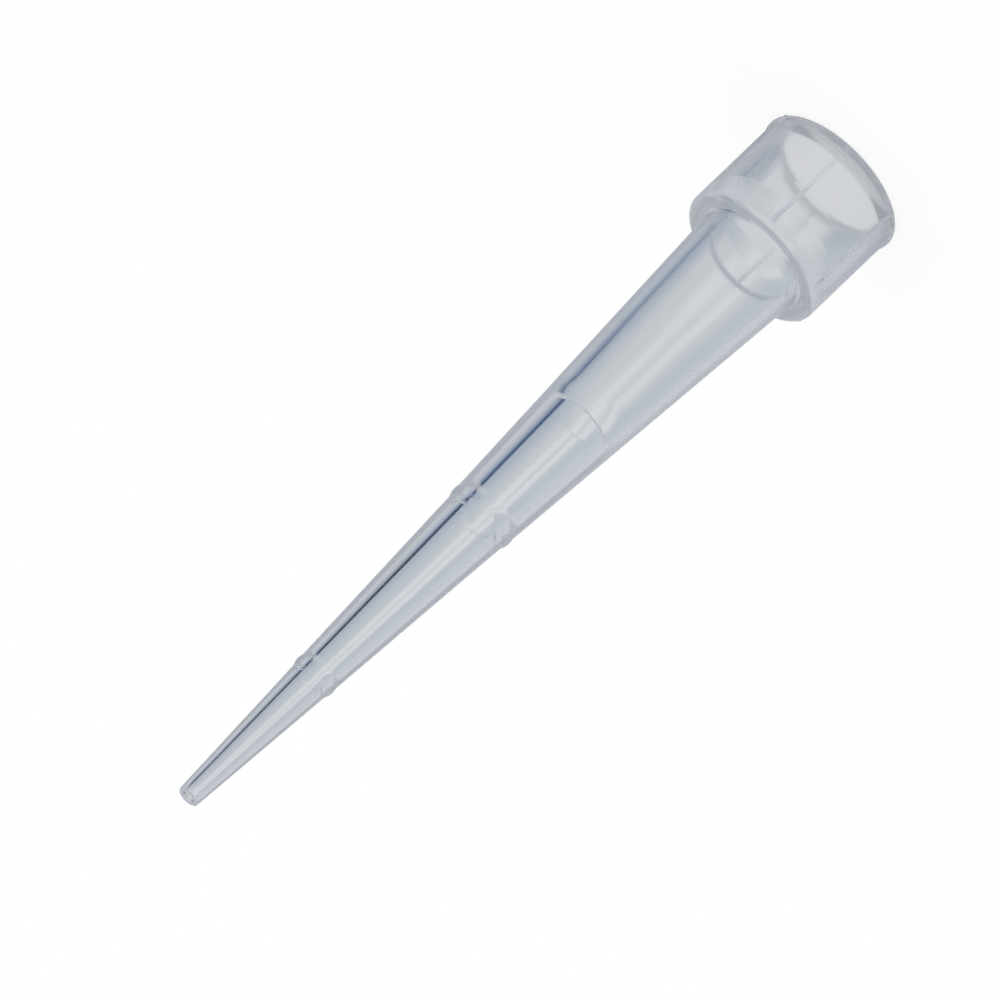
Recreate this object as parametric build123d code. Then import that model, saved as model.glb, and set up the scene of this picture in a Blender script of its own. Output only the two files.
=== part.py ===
from build123d import *

import os

# A graduated 10 microlitre pipette tip, injection moulded in one piece.
# It stands on its open rim: the rim plane is Z = 0, the axis is +Z and the narrow
# outlet is at the top. All sizes are in millimetres.
# The mould core sets each inside radius, and each outside radius is the core's plus
# a wall. Heights near the collar are counted up from the rim, and heights near the
# point are counted down from the outlet, so the long barrel takes up any change of
# the overall length.

# Overall
overall_length = 32.0

# Sample bore, counted down from the outlet
outlet_radius = 0.215
outlet_land = 0.30
step_below_outlet = 19.20
bore_radius_at_step = 0.835

# Nose of the wide core, where the bore steps out above the sample bore
step_ledge = 0.12
nose_length = 1.10
nose_rise = 0.165

# Nozzle socket, counted up from the rim
mouth_height = 0.50
mouth_flare = 0.37
seat_taper = 0.05
seal_height = 2.10
seal_length = 0.73
seal_radius = 2.00
throat_height = 3.64
throat_length = 0.70
throat_radius = 1.56
barrel_bore_radius = 1.51

# Walls, from the core to the outside
outlet_wall = 0.170
mark_2_wall = 0.327
mark_10_wall = 0.514
barrel_wall = 0.48
collar_wall = 0.665

# Graduation rings, counted down from the outlet
mark_2_below_outlet = 6.19
mark_2_step = 0.016
mark_10_below_outlet = 14.40
mark_10_step = 0.026
ring_width = 0.44
ring_height = 0.055

# Collar
collar_height = 4.13
shoulder_round = 0.16
shoulder_fillet = 0.10
lip_round = 0.15
lip_proud = 0.075
outlet_chamfer = 0.04

# Grip ribs on the collar
rib_count = 6
rib_radius = 0.09
rib_proud = 0.13
rib_above_rim = 0.04
rib_below_shoulder = 0.17
rib_end_chamfer = 0.03

# Derived heights
outlet_land_z = overall_length - outlet_land
step_z = overall_length - step_below_outlet
nose_z = step_z - nose_length
mark_2_z = overall_length - mark_2_below_outlet
mark_10_z = overall_length - mark_10_below_outlet
seal_end_z = seal_height + seal_length
throat_end_z = throat_height + throat_length

# Derived radii
mouth_radius = seal_radius + seat_taper
rim_radius = mouth_radius + mouth_flare
nose_radius = bore_radius_at_step + step_ledge + nose_rise
collar_radius = seal_radius + collar_wall
barrel_radius = barrel_bore_radius + barrel_wall


def cone_radius(z, start, end):
    """Radius at height z of the cone through two (radius, height) points."""
    share = (z - start[1]) / (end[1] - start[1])
    return start[0] + share * (end[0] - start[0])


def sample_bore_radius(z):
    """Radius of the straight sample cone between the step and the outlet land."""
    return cone_radius(z, (bore_radius_at_step, step_z), (outlet_radius, outlet_land_z))


def core():
    """The space that the mould core leaves, from the flared mouth to the outlet."""
    with BuildPart() as space:
        with BuildSketch(Plane.XZ):
            with BuildLine():
                wide = Polyline(
                    (0, 0),
                    (rim_radius, 0),
                    (mouth_radius, mouth_height),
                    (seal_radius, seal_height),
                    (seal_radius, seal_end_z),
                    (throat_radius, throat_height),
                    (throat_radius, throat_end_z),
                    (barrel_bore_radius, throat_end_z),
                    (nose_radius, nose_z),
                )
                nose_tip = (bore_radius_at_step + step_ledge, step_z)
                TangentArc(wide @ 1, nose_tip, tangent=wide % 1)
                Polyline(
                    nose_tip,
                    (bore_radius_at_step, step_z),
                    (outlet_radius, outlet_land_z),
                    (outlet_radius, overall_length),
                    (0, overall_length),
                    (0, 0),
                )
            make_face()
        revolve(axis=Axis.Z)
    return space.part


def ring_arc(lower, upper):
    """Rounded graduation bead between two (radius, height) points of the barrel."""
    crest = max(lower[0], upper[0]) + ring_height
    return ThreePointArc(lower, (crest, (lower[1] + upper[1]) / 2), upper)


def outside():
    """The solid outside of the tip, with its collar, shoulder and two beads."""
    mark_10_radius = sample_bore_radius(mark_10_z) + mark_10_wall
    mark_2_radius = sample_bore_radius(mark_2_z) + mark_2_wall
    outlet_outside = outlet_radius + outlet_wall

    upper_cone = ((barrel_radius, throat_end_z), (mark_10_radius + mark_10_step, mark_10_z))
    middle_cone = ((mark_10_radius, mark_10_z), (mark_2_radius + mark_2_step, mark_2_z))
    lower_cone = ((mark_2_radius, mark_2_z), (outlet_outside, overall_length))

    def on(cone, z):
        return (cone_radius(z, *cone), z)

    def ring_ends(lower, upper, z):
        return on(lower, z - ring_width / 2), on(upper, z + ring_width / 2)

    shoulder = on(upper_cone, collar_height)
    ring_10 = ring_ends(upper_cone, middle_cone, mark_10_z)
    ring_2 = ring_ends(middle_cone, lower_cone, mark_2_z)

    # the bead round the rim leaves the rim plane and meets the wall on one circle
    lip_seat = collar_radius + lip_proud - lip_round
    lip_crest = (collar_radius + lip_proud, lip_round)
    lip_end = (collar_radius, lip_round + (lip_round**2 - (lip_round - lip_proud) ** 2) ** 0.5)

    with BuildPart() as body:
        with BuildSketch(Plane.XZ):
            with BuildLine():
                Line((0, 0), (lip_seat, 0))
                TangentArc((lip_seat, 0), lip_crest, tangent=(1, 0))
                TangentArc(lip_crest, lip_end, tangent=(0, 1))
                Polyline(lip_end, (collar_radius, collar_height), shoulder, ring_10[0])
                ring_arc(*ring_10)
                Line(ring_10[1], ring_2[0])
                ring_arc(*ring_2)
                Polyline(ring_2[1], (outlet_outside, overall_length), (0, overall_length), (0, 0))
            make_face()
        revolve(axis=Axis.Z)
        circles = body.edges().filter_by(GeomType.CIRCLE)
        shoulder_edges = circles.filter_by_position(Axis.Z, collar_height, collar_height)
        junction, corner = shoulder_edges.sort_by(SortBy.RADIUS)
        fillet(corner, shoulder_round)
        fillet(junction, shoulder_fillet)
        outlet_edge = body.edges().filter_by(GeomType.CIRCLE).sort_by(Axis.Z)[-1]
        chamfer(outlet_edge, outlet_chamfer)
    return body.part


def grip_ribs():
    """Round-backed ribs along the collar wall, each a rod sunk into it."""
    with BuildPart() as ribs:
        with BuildSketch(Plane.XY.offset(rib_above_rim)):
            with PolarLocations(collar_radius + rib_proud - rib_radius, rib_count):
                Circle(rib_radius)
        extrude(amount=collar_height - rib_above_rim - rib_below_shoulder)
        chamfer(ribs.edges().filter_by(GeomType.CIRCLE), rib_end_chamfer)
    return ribs.part


def pipette_tip():
    """The one moulded piece."""
    return outside() + grip_ribs() - core()


os.makedirs("parts", exist_ok=True)
tip = pipette_tip().solid()
export_step(tip, "parts/pipette_tip.step")
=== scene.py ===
import math

import bpy
import numpy as np
from mathutils import Matrix, Vector


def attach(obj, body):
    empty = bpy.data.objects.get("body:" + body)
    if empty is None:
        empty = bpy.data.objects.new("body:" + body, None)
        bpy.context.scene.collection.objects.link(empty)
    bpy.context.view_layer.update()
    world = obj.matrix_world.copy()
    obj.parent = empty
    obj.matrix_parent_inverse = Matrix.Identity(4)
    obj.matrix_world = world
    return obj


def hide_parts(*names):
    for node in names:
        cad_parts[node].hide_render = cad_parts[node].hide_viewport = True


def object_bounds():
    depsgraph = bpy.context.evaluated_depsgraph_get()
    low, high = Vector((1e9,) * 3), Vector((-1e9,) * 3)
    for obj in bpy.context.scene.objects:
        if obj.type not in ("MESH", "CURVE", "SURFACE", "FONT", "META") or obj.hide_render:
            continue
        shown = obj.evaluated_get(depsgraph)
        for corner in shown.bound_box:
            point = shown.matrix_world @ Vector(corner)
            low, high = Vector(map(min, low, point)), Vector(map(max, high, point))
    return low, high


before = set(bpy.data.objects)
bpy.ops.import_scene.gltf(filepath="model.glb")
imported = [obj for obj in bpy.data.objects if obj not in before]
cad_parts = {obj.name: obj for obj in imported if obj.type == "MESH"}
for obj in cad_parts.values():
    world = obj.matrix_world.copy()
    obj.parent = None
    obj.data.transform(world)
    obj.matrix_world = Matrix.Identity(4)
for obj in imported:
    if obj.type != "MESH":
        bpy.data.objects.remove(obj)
cad_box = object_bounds()

# ---------------------------------------------------------------------------
# The moulding. The whole tip is one shot of natural polypropylene, formed
# between a turned cavity and a polished steel core, so every part of it is
# round about the axis except the six grip ribs cut along the collar's cavity.
# ---------------------------------------------------------------------------
MM = 0.001
tip_length = (cad_box[1].z - cad_box[0].z) / MM

# Sample bore, counted down from the outlet, and the nose of the wide core
outlet_radius = 0.215
outlet_land_z = tip_length - 0.30
step_z = tip_length - 19.20
step_radius, step_ledge, step_round = 0.835, 0.12, 0.01
nose_z, nose_radius, nose_crown = step_z - 1.10, 1.12, 0.045

# Nozzle socket, counted up from the rim
rim_radius, rim_flat = 2.42, 0.06
mouth_z, mouth_radius = 0.50, 2.05
seal_z, seal_end_z, seal_radius = 2.10, 2.83, 2.00
throat_z, throat_end_z, throat_radius = 3.64, 4.34, 1.555
throat_lead, barrel_bore = 0.35, 1.52

# The socket's corners, from the nose down to the rim: how round each one is, and the
# rows of faces on each straight run between them
socket_rounds = [0.30, 0.30, 0.08, 0.10, 0.20, 0.15, 0.03]
socket_rows = [30, 3, 8, 8, 6, 12, 8, 2]

# Outside
collar_z, collar_radius = 4.13, 2.665
lip_round, lip_radius = 0.15, 2.738
shoulder_round, shoulder_fillet = 0.16, 0.10
barrel_radius = 1.99
mark_10_z, mark_10_radius, mark_10_step = tip_length - 14.40, 1.1915, 0.026
mark_2_z, mark_2_radius, mark_2_step = tip_length - 6.19, 0.7352, 0.016
ring_half, ring_height = 0.24, 0.050
outlet_outside, outlet_round, outlet_bore_round = 0.385, 0.05, 0.02

# Grip ribs: a narrow round back on the collar wall. It stands proudest at its two ends,
# and sinks to its middle height between the two distances of rib_sinks from an end.
rib_count, rib_half_width, rib_proud, rib_middle_proud = 6, 0.085, 0.125, 0.04
rib_start_z, rib_end_z, rib_run_out = 0.04, collar_z - 0.17, 0.07
rib_sinks = (0.25, 0.45)
rib_margin, columns_on_rib, columns_between = 1.15, 12, 24


def straight(start, end, rows):
    """A straight run, its rows set closer towards both ends by half a cosine wave."""
    share = (1 - np.cos(np.linspace(0, np.pi, rows + 1)[:-1])) / 2
    return np.outer(1 - share, start) + np.outer(share, end)


def arc(centre, radius, start, end, rows):
    """Part of a circle in the (radius, height) plane, between two angles in degrees."""
    turn = np.radians(np.linspace(start, end, rows + 1)[:-1])
    return np.array(centre) + radius * np.column_stack((np.cos(turn), np.sin(turn)))


def on_cone(z, low, high):
    """The (radius, height) point at z on the cone through two (radius, height) points."""
    share = (z - low[1]) / (high[1] - low[1])
    return np.array((low[0] + share * (high[0] - low[0]), z))


def bead(low, high, height, rows):
    """A bead between two points of the wall: the chord plus half a sine wave outwards."""
    share = np.linspace(0, 1, rows + 1)[:-1]
    chord = np.outer(1 - share, low) + np.outer(share, high)
    chord[:, 0] += height * np.sin(np.pi * share)
    return chord


def rounded(points, radii, rows):
    """Straight runs through the points, with an arc of the given radius at each inner corner.
    The arc touches both runs: it starts at radius * tan(half the turn) before the corner. It
    has one row for every nine degrees of the turn, and three at least."""
    points = [np.array(point, float) for point in points]
    parts = []
    last = points[0]
    for k in range(1, len(points) - 1):
        into = (points[k] - points[k - 1]) / np.linalg.norm(points[k] - points[k - 1])
        out = (points[k + 1] - points[k]) / np.linalg.norm(points[k + 1] - points[k])
        turn = math.atan2(into[0] * out[1] - into[1] * out[0], into @ out)
        reach = radii[k - 1] * math.tan(abs(turn) / 2)
        start = points[k] - into * reach
        centre = start + math.copysign(radii[k - 1], turn) * np.array((-into[1], into[0]))
        first = math.degrees(math.atan2(start[1] - centre[1], start[0] - centre[0]))
        parts.append(straight(last, start, rows[k - 1]))
        steps = max(3, int(abs(math.degrees(turn)) / 9))
        parts.append(arc(centre, radii[k - 1], first, first + math.degrees(turn), steps))
        last = points[k] + out * reach
    parts.append(straight(last, points[-1], rows[-1]))
    return np.vstack(parts)


upper = (barrel_radius, throat_end_z), (mark_10_radius + mark_10_step, mark_10_z)
middle = (mark_10_radius, mark_10_z), (mark_2_radius + mark_2_step, mark_2_z)
lower = (mark_2_radius, mark_2_z), (outlet_outside, tip_length)
ring_10 = on_cone(mark_10_z - ring_half, *upper), on_cone(mark_10_z + ring_half, *middle)
ring_2 = on_cone(mark_2_z - ring_half, *middle), on_cone(mark_2_z + ring_half, *lower)
lip_inset = lip_round - (lip_radius - collar_radius)
lip_end_z = lip_round + math.sqrt(lip_round**2 - lip_inset**2)
lip_turn = math.degrees(math.asin((lip_end_z - lip_round) / lip_round))
rim_middle = (rim_radius + rim_flat, 0)
land = (outlet_radius, outlet_land_z)
ledge = (step_radius + step_ledge, step_z)

outside_path = np.vstack([
    straight(rim_middle, (lip_radius - lip_round, 0), 4),
    arc((lip_radius - lip_round, lip_round), lip_round, -90, lip_turn, 14),
    rounded(
        [(collar_radius, lip_end_z), (collar_radius, collar_z), on_cone(collar_z, *upper),
         ring_10[0]],
        [shoulder_round, shoulder_fillet], [18, 10, 26]),
    bead(*ring_10, ring_height, 14),
    straight(ring_10[1], ring_2[0], 24),
    bead(*ring_2, ring_height, 14),
    rounded(
        [ring_2[1], (outlet_outside, tip_length), (outlet_radius, tip_length), land],
        [outlet_round, outlet_bore_round], [22, 4, 6]),
])
bore_path = np.vstack([
    rounded([land, (step_radius, step_z), ledge], [step_round], [40, 4]),
    bead(ledge, (nose_radius, nose_z), nose_crown, 14),
    rounded(
        [(nose_radius, nose_z), (barrel_bore, throat_end_z + throat_lead),
         (throat_radius, throat_end_z), (throat_radius, throat_z),
         (seal_radius, seal_end_z), (seal_radius, seal_z),
         (mouth_radius, mouth_z), (rim_radius, 0), rim_middle],
        socket_rounds, socket_rows),
])
profile = np.vstack((outside_path, bore_path))

# The profile is carried round the axis, on columns that are set close at the ribs and a
# little past their sides
pitch = 2 * math.pi / rib_count
rib_angle = rib_margin * rib_half_width / collar_radius
on_rib = np.linspace(-rib_angle, rib_angle, columns_on_rib, endpoint=False)
between = np.linspace(rib_angle, pitch - rib_angle, columns_between, endpoint=False)
one_pitch = np.concatenate((on_rib, between))
angles = (np.arange(rib_count)[:, None] * pitch + one_pitch).ravel()
from_rib = np.tile(np.where(one_pitch > pitch / 2, one_pitch - pitch, one_pitch), rib_count)

radius = np.repeat(profile[:, :1], len(angles), axis=1)
height = np.repeat(profile[:, 1:], len(angles), axis=1)
on_outside = np.arange(len(profile))[:, None] < len(outside_path)

# A rib's back is one cosine wave across, and its ends run out as a square root
across = np.clip(np.abs(from_rib) * collar_radius / rib_half_width, 0, 1)
from_end = np.minimum(height - rib_start_z, rib_end_z - height)
rib_height = np.interp(from_end, rib_sinks, (rib_proud, rib_middle_proud))
crest = rib_height * (1 + np.cos(np.pi * across)) / 2
ribbed = collar_radius + crest * np.sqrt(np.clip(from_end / rib_run_out, 0, 1))
is_rib = on_outside & (from_end > 0) & (crest > 0)
radius = np.where(is_rib, np.maximum(radius, ribbed), radius)

shape = np.stack((radius * np.cos(angles), radius * np.sin(angles), height), axis=2) * MM
index = np.arange(radius.size).reshape(radius.shape)
next_row = np.roll(index, -1, axis=0)
faces = np.stack(
    (index, np.roll(index, -1, axis=1), np.roll(next_row, -1, axis=1), next_row), axis=2)
tip_mesh = bpy.data.meshes.new("moulded_tip")
tip_mesh.from_pydata(shape.reshape(-1, 3), [], faces.reshape(-1, 4))
tip_mesh.polygons.foreach_set("use_smooth", np.ones(len(tip_mesh.polygons), bool))

# How milky the outside is, from 0 to 1. The thick flange fades in over a range of heights
# and radii, the ribs are milkiest at their ends, and the outlet's edge and the lip fade.
# The ribs' milk takes in the rows just past their ends, and keeps to the collar's outside.
flange_heights, flange_radii, flange_share = (3.4, 3.85), (2.03, 2.22), 0.55
rib_ends, rib_shares = (0.15, 0.50), (0.9, 0.6)
rib_overrun, rib_inner_limit = 0.02, 2.5
outlet_heights, outlet_shares = (tip_length - 0.25, tip_length - 0.05), (0, 0.5)
lip_heights, lip_shares = (0.25, 0.40), (0.20, 0)
flange_milk = (flange_share * np.interp(height, flange_heights, (0, 1))
               * np.interp(radius, flange_radii, (0, 1)))
on_rib_row = (from_end > -rib_overrun) & (across < 1) & (radius > rib_inner_limit)
rib_milk = on_rib_row * np.interp(from_end, rib_ends, rib_shares)
outlet_milk = np.interp(height, outlet_heights, outlet_shares)
lip_milk = np.interp(height, lip_heights, lip_shares)
milk = on_outside * np.maximum.reduce((flange_milk, rib_milk, outlet_milk, lip_milk))

# On the core's side: grey milk on the mouth's flare, which is painted shade for the dark
# seen inside the mouth, and the grain that the steel leaves, which is strongest in the socket
# and faint up the bore
flare_heights, flare_shade_shares = (0.15, 0.35, 0.50, 0.55), (0.42, 0.29, 0.18, 0)
grain_heights = (throat_z, throat_end_z + 0.6, nose_z, step_z)
grain_shares = (1, 0.6, 0.45, 0.15)
flare = np.where(on_outside, 0, np.interp(height, flare_heights, flare_shade_shares))
grain = np.where(on_outside, 0, np.interp(height, grain_heights, grain_shares))

# How much further in from the outline the haze at a slant reaches: a little on the narrow
# half, past the bore's step, and most on and beside the two rings
narrow_heights, narrow_reach = (step_z - 0.6, step_z + 0.4), 0.12
ring_reach, ring_reach_half = 0.25, 1.3 * ring_half
near_ring = ((np.abs(height - mark_10_z) < ring_reach_half)
             | (np.abs(height - mark_2_z) < ring_reach_half))
haze_reach = np.maximum(
    np.interp(height, narrow_heights, (0, narrow_reach)), ring_reach * near_ring)

outside = on_outside * np.ones(height.shape)
for name, values in (("milk", milk), ("outside", outside), ("haze_reach", haze_reach),
                     ("flare", flare), ("grain", grain)):
    layer = tip_mesh.attributes.new(name, "FLOAT", "POINT")
    layer.data.foreach_set("value", values.ravel())
tip_mesh.update()
tip = bpy.data.objects.new("moulded_tip", tip_mesh)
bpy.context.scene.collection.objects.link(tip)


def linear(hex_colour):
    """sRGB hex to linear: each channel by the sRGB transfer curve."""
    channels = [int(hex_colour[k:k + 2], 16) / 255 for k in (0, 2, 4)]
    curve = [c / 12.92 if c <= 0.04045 else ((c + 0.055) / 1.055) ** 2.4 for c in channels]
    return (*curve, 1.0)


def add(tree, kind, settings=None, links=None):
    """Adds a node, sets its sockets and properties by name, and links other outputs to it."""
    node = tree.nodes.new(kind)
    for name, value in (settings or {}).items():
        if isinstance(name, int) or name in node.inputs:
            node.inputs[name].default_value = value
        else:
            setattr(node, name, value)
    for name, output in (links or {}).items():
        tree.links.new(output, node.inputs[name])
    return node


# Natural polypropylene, unpigmented and injection moulded. To the eye a thin wall is nearly
# as clear as glass, and bends what stands behind it by an index of 1.49. The plastic's
# crystals scatter light, so it turns a cool milky grey where it is thick, and where its
# outside is met at a slant. The steel's grain makes the socket a little dull.
polypropylene = bpy.data.materials.new("natural polypropylene, moulded")
polypropylene.use_nodes = True
tree = polypropylene.node_tree
tree.nodes.clear()
thick_milk = add(tree, "ShaderNodeAttribute", {"attribute_name": "milk"})
# Painted shade on the mouth's flare, read from the flare attribute
flare_painted_shade = add(tree, "ShaderNodeAttribute", {"attribute_name": "flare"})
outer_skin = add(tree, "ShaderNodeAttribute", {"attribute_name": "outside"})
reach = add(tree, "ShaderNodeAttribute", {"attribute_name": "haze_reach"})
core_grain = add(tree, "ShaderNodeAttribute", {"attribute_name": "grain"})

# The haze at a slant starts and is full at these shares of the way to the outline. It and
# the milk are met only from outside, where a face isn't a back face.
haze_starts, haze_full = 0.43, 0.68
slant = add(tree, "ShaderNodeLayerWeight", {"Blend": 0.5})
slant_reach = add(tree, "ShaderNodeMath", {"operation": "ADD"},
                  {0: slant.outputs["Facing"], 1: reach.outputs["Fac"]})
edge = add(tree, "ShaderNodeMapRange", {"From Min": haze_starts, "From Max": haze_full},
           {"Value": slant_reach.outputs[0]})
side = add(tree, "ShaderNodeNewGeometry")
front = add(tree, "ShaderNodeMath", {"operation": "SUBTRACT", 0: 1.0},
            {1: side.outputs["Backfacing"]})
skin_milk = add(tree, "ShaderNodeMath", {"operation": "MULTIPLY_ADD"},
                {0: edge.outputs[0], 1: outer_skin.outputs["Fac"], 2: thick_milk.outputs["Fac"]})
seen_milk = add(tree, "ShaderNodeMath", {"operation": "MULTIPLY", "use_clamp": True},
                {0: skin_milk.outputs[0], 1: front.outputs[0]})
# The milk, or the painted shade on the flare where that is more
milk_and_flare_shade = add(tree, "ShaderNodeMath", {"operation": "MAXIMUM"},
            {0: seen_milk.outputs[0], 1: flare_painted_shade.outputs["Fac"]})

# Milk greys the plastic and takes most of its clearness; on the mouth's flare this grey is
# painted shade. The grain takes a little of the clearness, and makes it rougher.
milk_and_shade_tint = add(tree, "ShaderNodeMix",
                {"data_type": "RGBA", 6: linear("b5b9c0"), 7: linear("c6ccd3")},
                {0: thick_milk.outputs["Fac"]})
tint = add(tree, "ShaderNodeMix", {"data_type": "RGBA", 6: linear("fafbfc")},
           {0: milk_and_flare_shade.outputs[0], 7: milk_and_shade_tint.outputs[2]})
clear = add(tree, "ShaderNodeMapRange", {"To Min": 0.995, "To Max": 0.975},
            {"Value": core_grain.outputs["Fac"]})
clearness_left = add(tree, "ShaderNodeMapRange", {"To Min": 1.0, "To Max": 0.25},
            {"Value": milk_and_flare_shade.outputs[0]})
transmission = add(tree, "ShaderNodeMath", {"operation": "MULTIPLY"},
                   {0: clear.outputs[0], 1: clearness_left.outputs[0]})
rough = add(tree, "ShaderNodeMapRange", {"To Min": 0.06, "To Max": 0.15},
            {"Value": core_grain.outputs["Fac"]})

# Draw lines run along the wall, where the core slid out of it. Real ones are too fine to
# show, a few hundredths of a millimetre apart, so they are drawn coarser: 7 to a radian is
# 0.2 mm apart on the barrel's bore. Each is about 20 mm long and 0.002 mm deep.
lines_to_a_radian = 7
line_length, line_depth = 20 * MM, 0.002 * MM
where = add(tree, "ShaderNodeTexCoord")
flat = add(tree, "ShaderNodeVectorMath", {"operation": "MULTIPLY", 1: (1, 1, 0)},
           {0: where.outputs["Object"]})
round_about = add(tree, "ShaderNodeVectorMath", {"operation": "NORMALIZE"}, {0: flat.outputs[0]})
along = add(tree, "ShaderNodeVectorMath", {"operation": "MULTIPLY", 1: (0, 0, 1 / line_length)},
            {0: where.outputs["Object"]})
place = add(tree, "ShaderNodeVectorMath", {"operation": "MULTIPLY_ADD", 1: [lines_to_a_radian] * 3},
            {0: round_about.outputs[0], 2: along.outputs[0]})
lines = add(tree, "ShaderNodeTexNoise", {"Scale": 1.0, "Detail": 3.0},
            {"Vector": place.outputs[0]})
draw_lines = add(tree, "ShaderNodeBump", {"Strength": 1.0, "Distance": line_depth},
                 {"Height": lines.outputs["Fac"]})
skin = add(tree, "ShaderNodeBsdfPrincipled", {"IOR": 1.49},
           {"Base Color": tint.outputs[2], "Transmission Weight": transmission.outputs[0],
            "Roughness": rough.outputs[0], "Normal": draw_lines.outputs[0]})
add(tree, "ShaderNodeOutputMaterial", links={"Surface": skin.outputs[0]})
tip_mesh.materials.append(polypropylene)
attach(tip, "root")
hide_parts("pipette_tip")

# ---------------------------------------------------------------------------
# The floor: a wide table top, painted matt white, a hair below the rim. Seen
# directly or through the clear plastic it is lit white, with the tip's own
# shadow kept faintly on it.
# ---------------------------------------------------------------------------
floor_half, floor_drop, floor_glow = 3.0, 0.02 * MM, 0.85
floor_mesh = bpy.data.meshes.new("floor")
floor_mesh.from_pydata(
    [(-floor_half, -floor_half, -floor_drop), (floor_half, -floor_half, -floor_drop),
     (floor_half, floor_half, -floor_drop), (-floor_half, floor_half, -floor_drop)],
    [], [(0, 1, 2, 3)])
floor = bpy.data.objects.new("floor", floor_mesh)
bpy.context.scene.collection.objects.link(floor)

# Matt emulsion paint: a plain white with no gloss, part of it given by its own light
floor_paint = bpy.data.materials.new("matt white table top")
floor_paint.use_nodes = True
tree = floor_paint.node_tree
tree.nodes.clear()
matt = add(tree, "ShaderNodeBsdfDiffuse", {"Color": linear("fdfdfd")})
white = add(tree, "ShaderNodeEmission", {"Strength": 1.0})
path = add(tree, "ShaderNodeLightPath")
seen = add(tree, "ShaderNodeMath", {"operation": "MAXIMUM"},
           {0: path.outputs["Is Camera Ray"], 1: path.outputs["Is Glossy Ray"]})
seen_through = add(tree, "ShaderNodeMath", {"operation": "MAXIMUM"},
                   {0: seen.outputs[0], 1: path.outputs["Is Transmission Ray"]})
lit = add(tree, "ShaderNodeMath", {"operation": "MULTIPLY", 1: floor_glow},
          {0: seen_through.outputs[0]})
top = add(tree, "ShaderNodeMixShader",
          links={0: lit.outputs[0], 1: matt.outputs[0], 2: white.outputs[0]})
add(tree, "ShaderNodeOutputMaterial", links={"Surface": top.outputs[0]})
floor_mesh.materials.append(floor_paint)

# ---------------------------------------------------------------------------
# The light round the tip, seen only through it and in its gloss. Under it lies
# a mat of lit grey paper, with a window in it behind the tip and a navy cloth
# at one side, which draws the dark line along the bore. The cloth goes on over
# the mat's far edge and up the foot of the grey tent that stands all round.
# ---------------------------------------------------------------------------
view_turn = math.radians(21.5)
mat_lift = -0.01

# The mat's points stand on rings, close together near the tip, and on a spoke a degree
mat_rings = np.concatenate((np.linspace(0, 20, 41), np.linspace(20.5, 70, 60), (100, 300)))
mat_out, mat_turn = np.meshgrid(mat_rings, np.linspace(-180, 180, 361))


def band(value, low, high, softness):
    """1 between low and high and 0 elsewhere: the product of two logistic edges."""
    return 1 / (1 + np.exp((low - value) / softness)) / (1 + np.exp((value - high) / softness))


def painted_over(base, layers):
    """The base colour, with each (colour, weight) layer mixed over what is there by weight."""
    tone = np.array(linear(base))
    for colour, weight in layers:
        tone = tone * (1 - weight[..., None]) + np.array(linear(colour)) * weight[..., None]
    return tone


def turned(out, turn, z):
    """Points from a distance to the axis, a turn in degrees from behind the tip and a height."""
    around = np.radians(turn) + math.pi / 2 + view_turn
    return np.stack((out * np.cos(around), out * np.sin(around), z), axis=2)


def glowing(name, points, tone):
    """A grid of points as a mesh that shines with its own colours, and that only the clear
    plastic and the gloss see. Its faces lie between neighbouring points."""
    index = np.arange(points[..., 0].size).reshape(points.shape[:2])
    panels = np.stack((index[:-1, :-1], index[:-1, 1:], index[1:, 1:], index[1:, :-1]), axis=2)
    mesh = bpy.data.meshes.new(name)
    mesh.from_pydata(points.reshape(-1, 3), [], panels.reshape(-1, 4))
    tones = mesh.color_attributes.new("tone", "FLOAT_COLOR", "POINT")
    tones.data.foreach_set("color", tone.ravel())
    card = bpy.data.objects.new(name, mesh)
    bpy.context.scene.collection.objects.link(card)

    # Backlit paper and cloth: flat colours that are all light, with no gloss
    paint = bpy.data.materials.new("lit paper and cloth")
    paint.use_nodes = True
    tree = paint.node_tree
    tree.nodes.clear()
    painted = add(tree, "ShaderNodeAttribute", {"attribute_name": "tone"})
    glow = add(tree, "ShaderNodeEmission", {"Strength": 1.0}, {"Color": painted.outputs["Color"]})
    add(tree, "ShaderNodeOutputMaterial", links={"Surface": glow.outputs[0]})
    mesh.materials.append(paint)
    card.visible_camera = False
    card.visible_diffuse = False
    card.visible_shadow = False


# The two edges of the window and of its bright middle, and the line of its bar: each is a
# turn in degrees from behind the tip, at distances in millimetres from the axis
window_low = np.interp(
    mat_out, (1.5, 2.5, 3.5, 5, 8, 17, 30, 42), (-190, -60, -42, -33, -24, -14, -8, -3))
window_high = np.interp(mat_out, (1.5, 2.5, 3.5, 5, 8, 17, 42), (190, 40, 27, 19, 16, 11, 16))
bright_low = np.interp(mat_out, (1.5, 3, 5, 9, 17, 30, 42), (-190, -52, -34, -8, -2.5, -1, 0))
bright_high = np.interp(mat_out, (1.5, 3, 5, 9, 17, 30, 42), (190, 30, 16, 10, 7, 12, 15))
bar = mat_turn - np.interp(mat_out, (17, 32, 43), (2, 5.8, 6.3))

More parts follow.
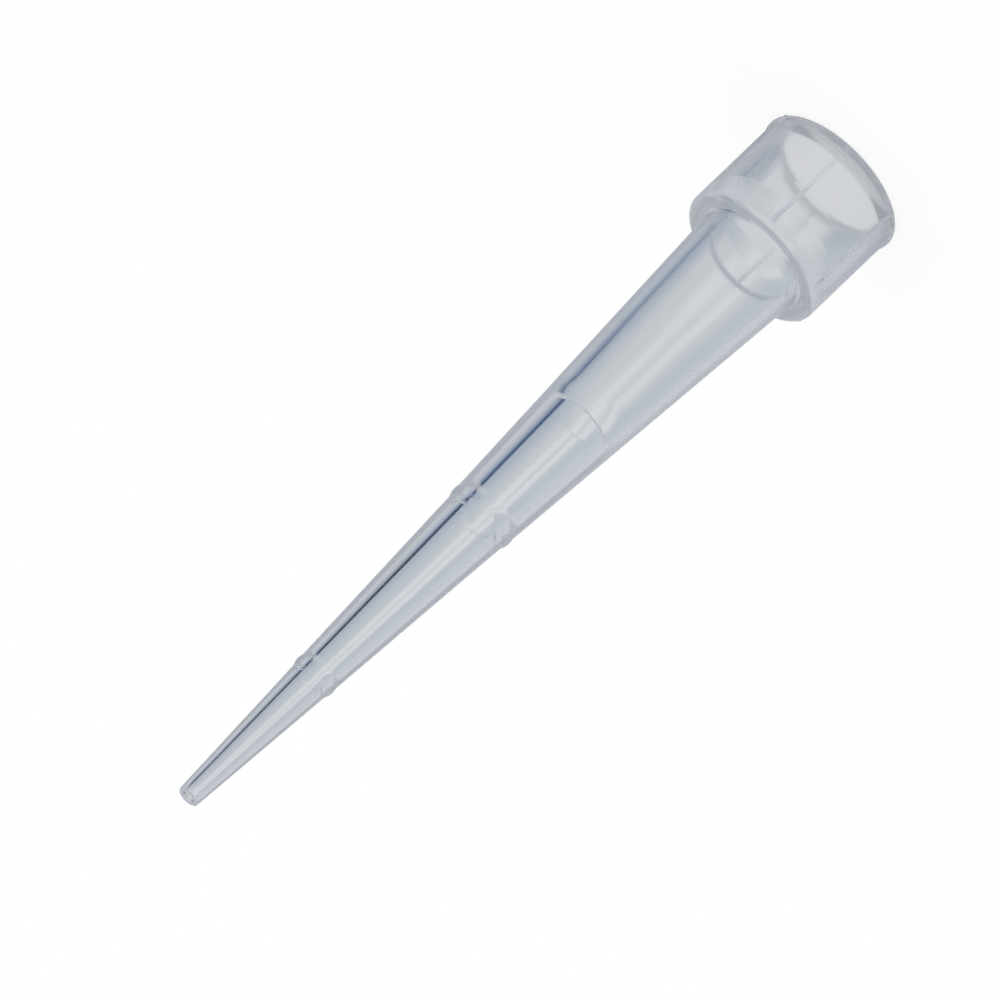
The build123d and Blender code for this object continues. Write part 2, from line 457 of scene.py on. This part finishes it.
# A band that ends past the mat's edge runs off the mat
past_edge = 400
bright = band(mat_turn, bright_low, bright_high, 0.7)
navy = band(mat_turn, -78, -62, 1.5)
mat_tone = painted_over("c5cad1", (
    # the paper: darker on the left side, a painted shadow of the tip round its foot,
    # and darker towards the cloth
    ("c1c6cd", band(mat_turn, -180, window_low, 2)),
    ("adb3bb", band(mat_out, -1, 5, 0.8)),
    ("a6b0be", band(mat_out, 9, past_edge, 1.5) * band(mat_turn, -66, -22, 4)),
    ("7e8ca3", band(mat_out, 9, past_edge, 1.5) * band(mat_turn, -78, -48, 4)),
    ("919aa8", band(mat_out, 0.8, 9, 0.5) * band(mat_turn, -80, -44, 4)),
    # the window, its bright middle near and far, and its bar
    ("cfd0d2", band(mat_turn, window_low, window_high, 1.5)),
    ("d8d9dc", bright),
    ("e2e2e4", band(mat_out, 10, past_edge, 2) * bright),
    ("cbcdd1", band(mat_out, 10, past_edge, 1.5) * band(bar, -1.3, 1.3, 0.4)),
    # the navy cloth: its blue edge, its dark middle, and its faded end on the far edge
    ("14406a", band(mat_out, 23, past_edge, 0.8) * navy),
    ("02101e", band(mat_out, 38, past_edge, 1.5) * navy),
    ("35547a", band(mat_out, 80, past_edge, 2) * band(mat_turn, -95, -40, 3))))
mat_shape = turned(mat_out, mat_turn, np.full_like(mat_out, mat_lift))
glowing("light_mat", mat_shape * MM, mat_tone)

# The tent: a soft pale panel behind the tip, and the cloth's end at its foot
tent_radius, tent_height = 300, 1200
tent_turn, tent_z = np.meshgrid(np.linspace(-180, 180, 121),
                                np.linspace(mat_lift, tent_height, 121))
tent_tone = painted_over("c1c6cd", (
    ("c9ccd1", band(tent_turn, -20, 16, 3)),
    ("35547a", band(tent_z, -10, 60, 6) * band(tent_turn, -95, -40, 3))))
glowing("tent", turned(tent_radius, tent_turn, tent_z) * MM, tent_tone)

# ---------------------------------------------------------------------------
# The room: even white light from all round.
# ---------------------------------------------------------------------------
world = bpy.data.worlds.new("studio")
bpy.context.scene.world = world
world.use_nodes = True
tree = world.node_tree
tree.nodes.clear()
sky = add(tree, "ShaderNodeBackground", {"Color": (1, 1, 1, 1), "Strength": 1.0})
add(tree, "ShaderNodeOutputWorld", links={"Surface": sky.outputs[0]})

# ---------------------------------------------------------------------------
# The camera: a long lens above the outlet's side, rolled so that the standing
# tip lies across the view with its outlet at the lower left.
# ---------------------------------------------------------------------------
view_elevation = math.radians(26.3)
view_roll = math.radians(-133.76)
camera_distance, lens, sensor_width = 0.8, 895.5, 36.0
aim_left, aim_down = 0.415, 0.449
to_camera = Vector((math.sin(view_turn) * math.cos(view_elevation),
                    -math.cos(view_turn) * math.cos(view_elevation), math.sin(view_elevation)))
level_right = Vector((math.cos(view_turn), math.sin(view_turn), 0))
level_up = to_camera.cross(level_right)
right = level_right * math.cos(view_roll) + level_up * math.sin(view_roll)
up = to_camera.cross(right)
tip_middle = Vector((0, 0, (cad_box[0].z + cad_box[1].z) / 2))
aim = tip_middle - (right * aim_left + up * aim_down) * MM

camera_data = bpy.data.cameras.new("camera")
camera_data.sensor_width = sensor_width
camera_data.lens = lens
camera = bpy.data.objects.new("camera", camera_data)
bpy.context.scene.collection.objects.link(camera)
camera.matrix_world = Matrix((
    (right.x, up.x, to_camera.x, 0), (right.y, up.y, to_camera.y, 0),
    (right.z, up.z, to_camera.z, 0), (0, 0, 0, 1)))
camera.location = aim + to_camera * camera_distance
bpy.context.scene.camera = camera
bpy.context.scene.view_settings.view_transform = "Standard"

# Light that is caught in the wall turns back many times before it leaves
light_turns = 48
cycles = bpy.context.scene.cycles
cycles.max_bounces = light_turns
cycles.transmission_bounces = light_turns
cycles.glossy_bounces = light_turns
